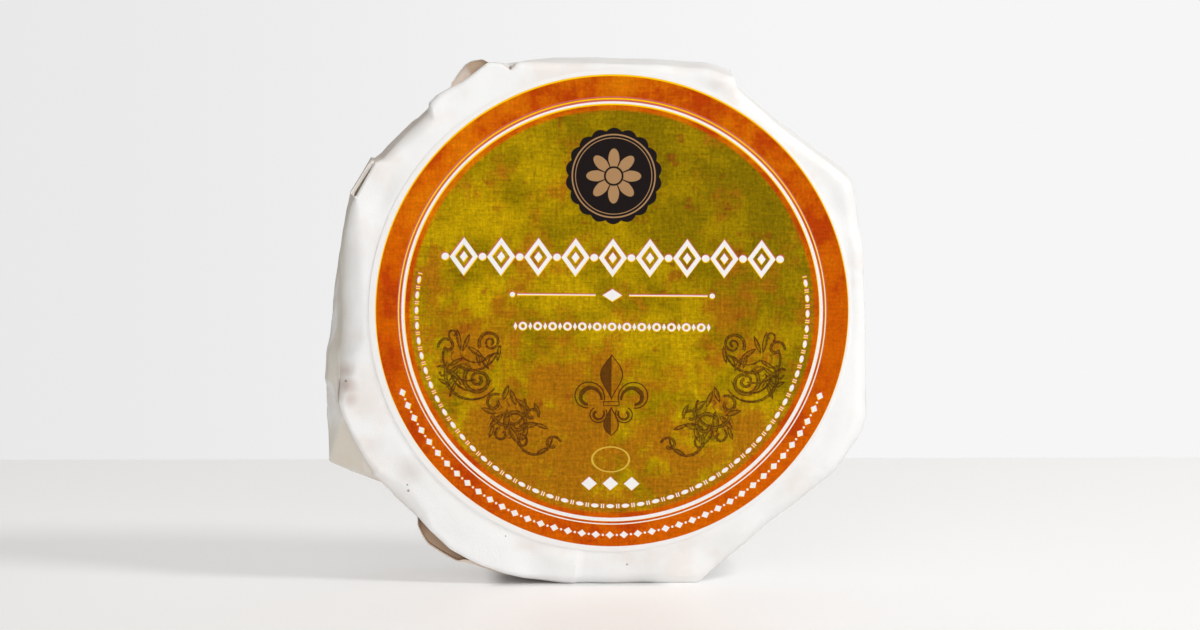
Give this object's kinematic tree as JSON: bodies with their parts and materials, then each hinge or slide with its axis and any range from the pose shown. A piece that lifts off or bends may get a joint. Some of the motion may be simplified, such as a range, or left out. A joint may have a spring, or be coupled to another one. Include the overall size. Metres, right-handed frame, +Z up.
{
  "type": "wrapped soft cheese wheel",
  "caption": "Small soft cheese wheel shut in folded white paper, standing on its edge, with a round printed paper label on the front and pleats on the back.",
  "frame": {"origin": "on the standing surface, under the middle of the label, at half the thickness of the wheel", "axes": "+Z up; the label faces -Y; +X to the right as seen facing the label"},
  "size_m": [0.1199, 0.0284, 0.1141],
  "materials": {
    "wrap_paper": "matt waxed white wrapping paper",
    "printed_label": "semi-matt printed label paper, olive and gold field in an orange ring"
  },
  "bodies": {
    "root": {"wrapped_wheel": "wrap_paper", "label": "printed_label"}
  },
  "joints": []
}
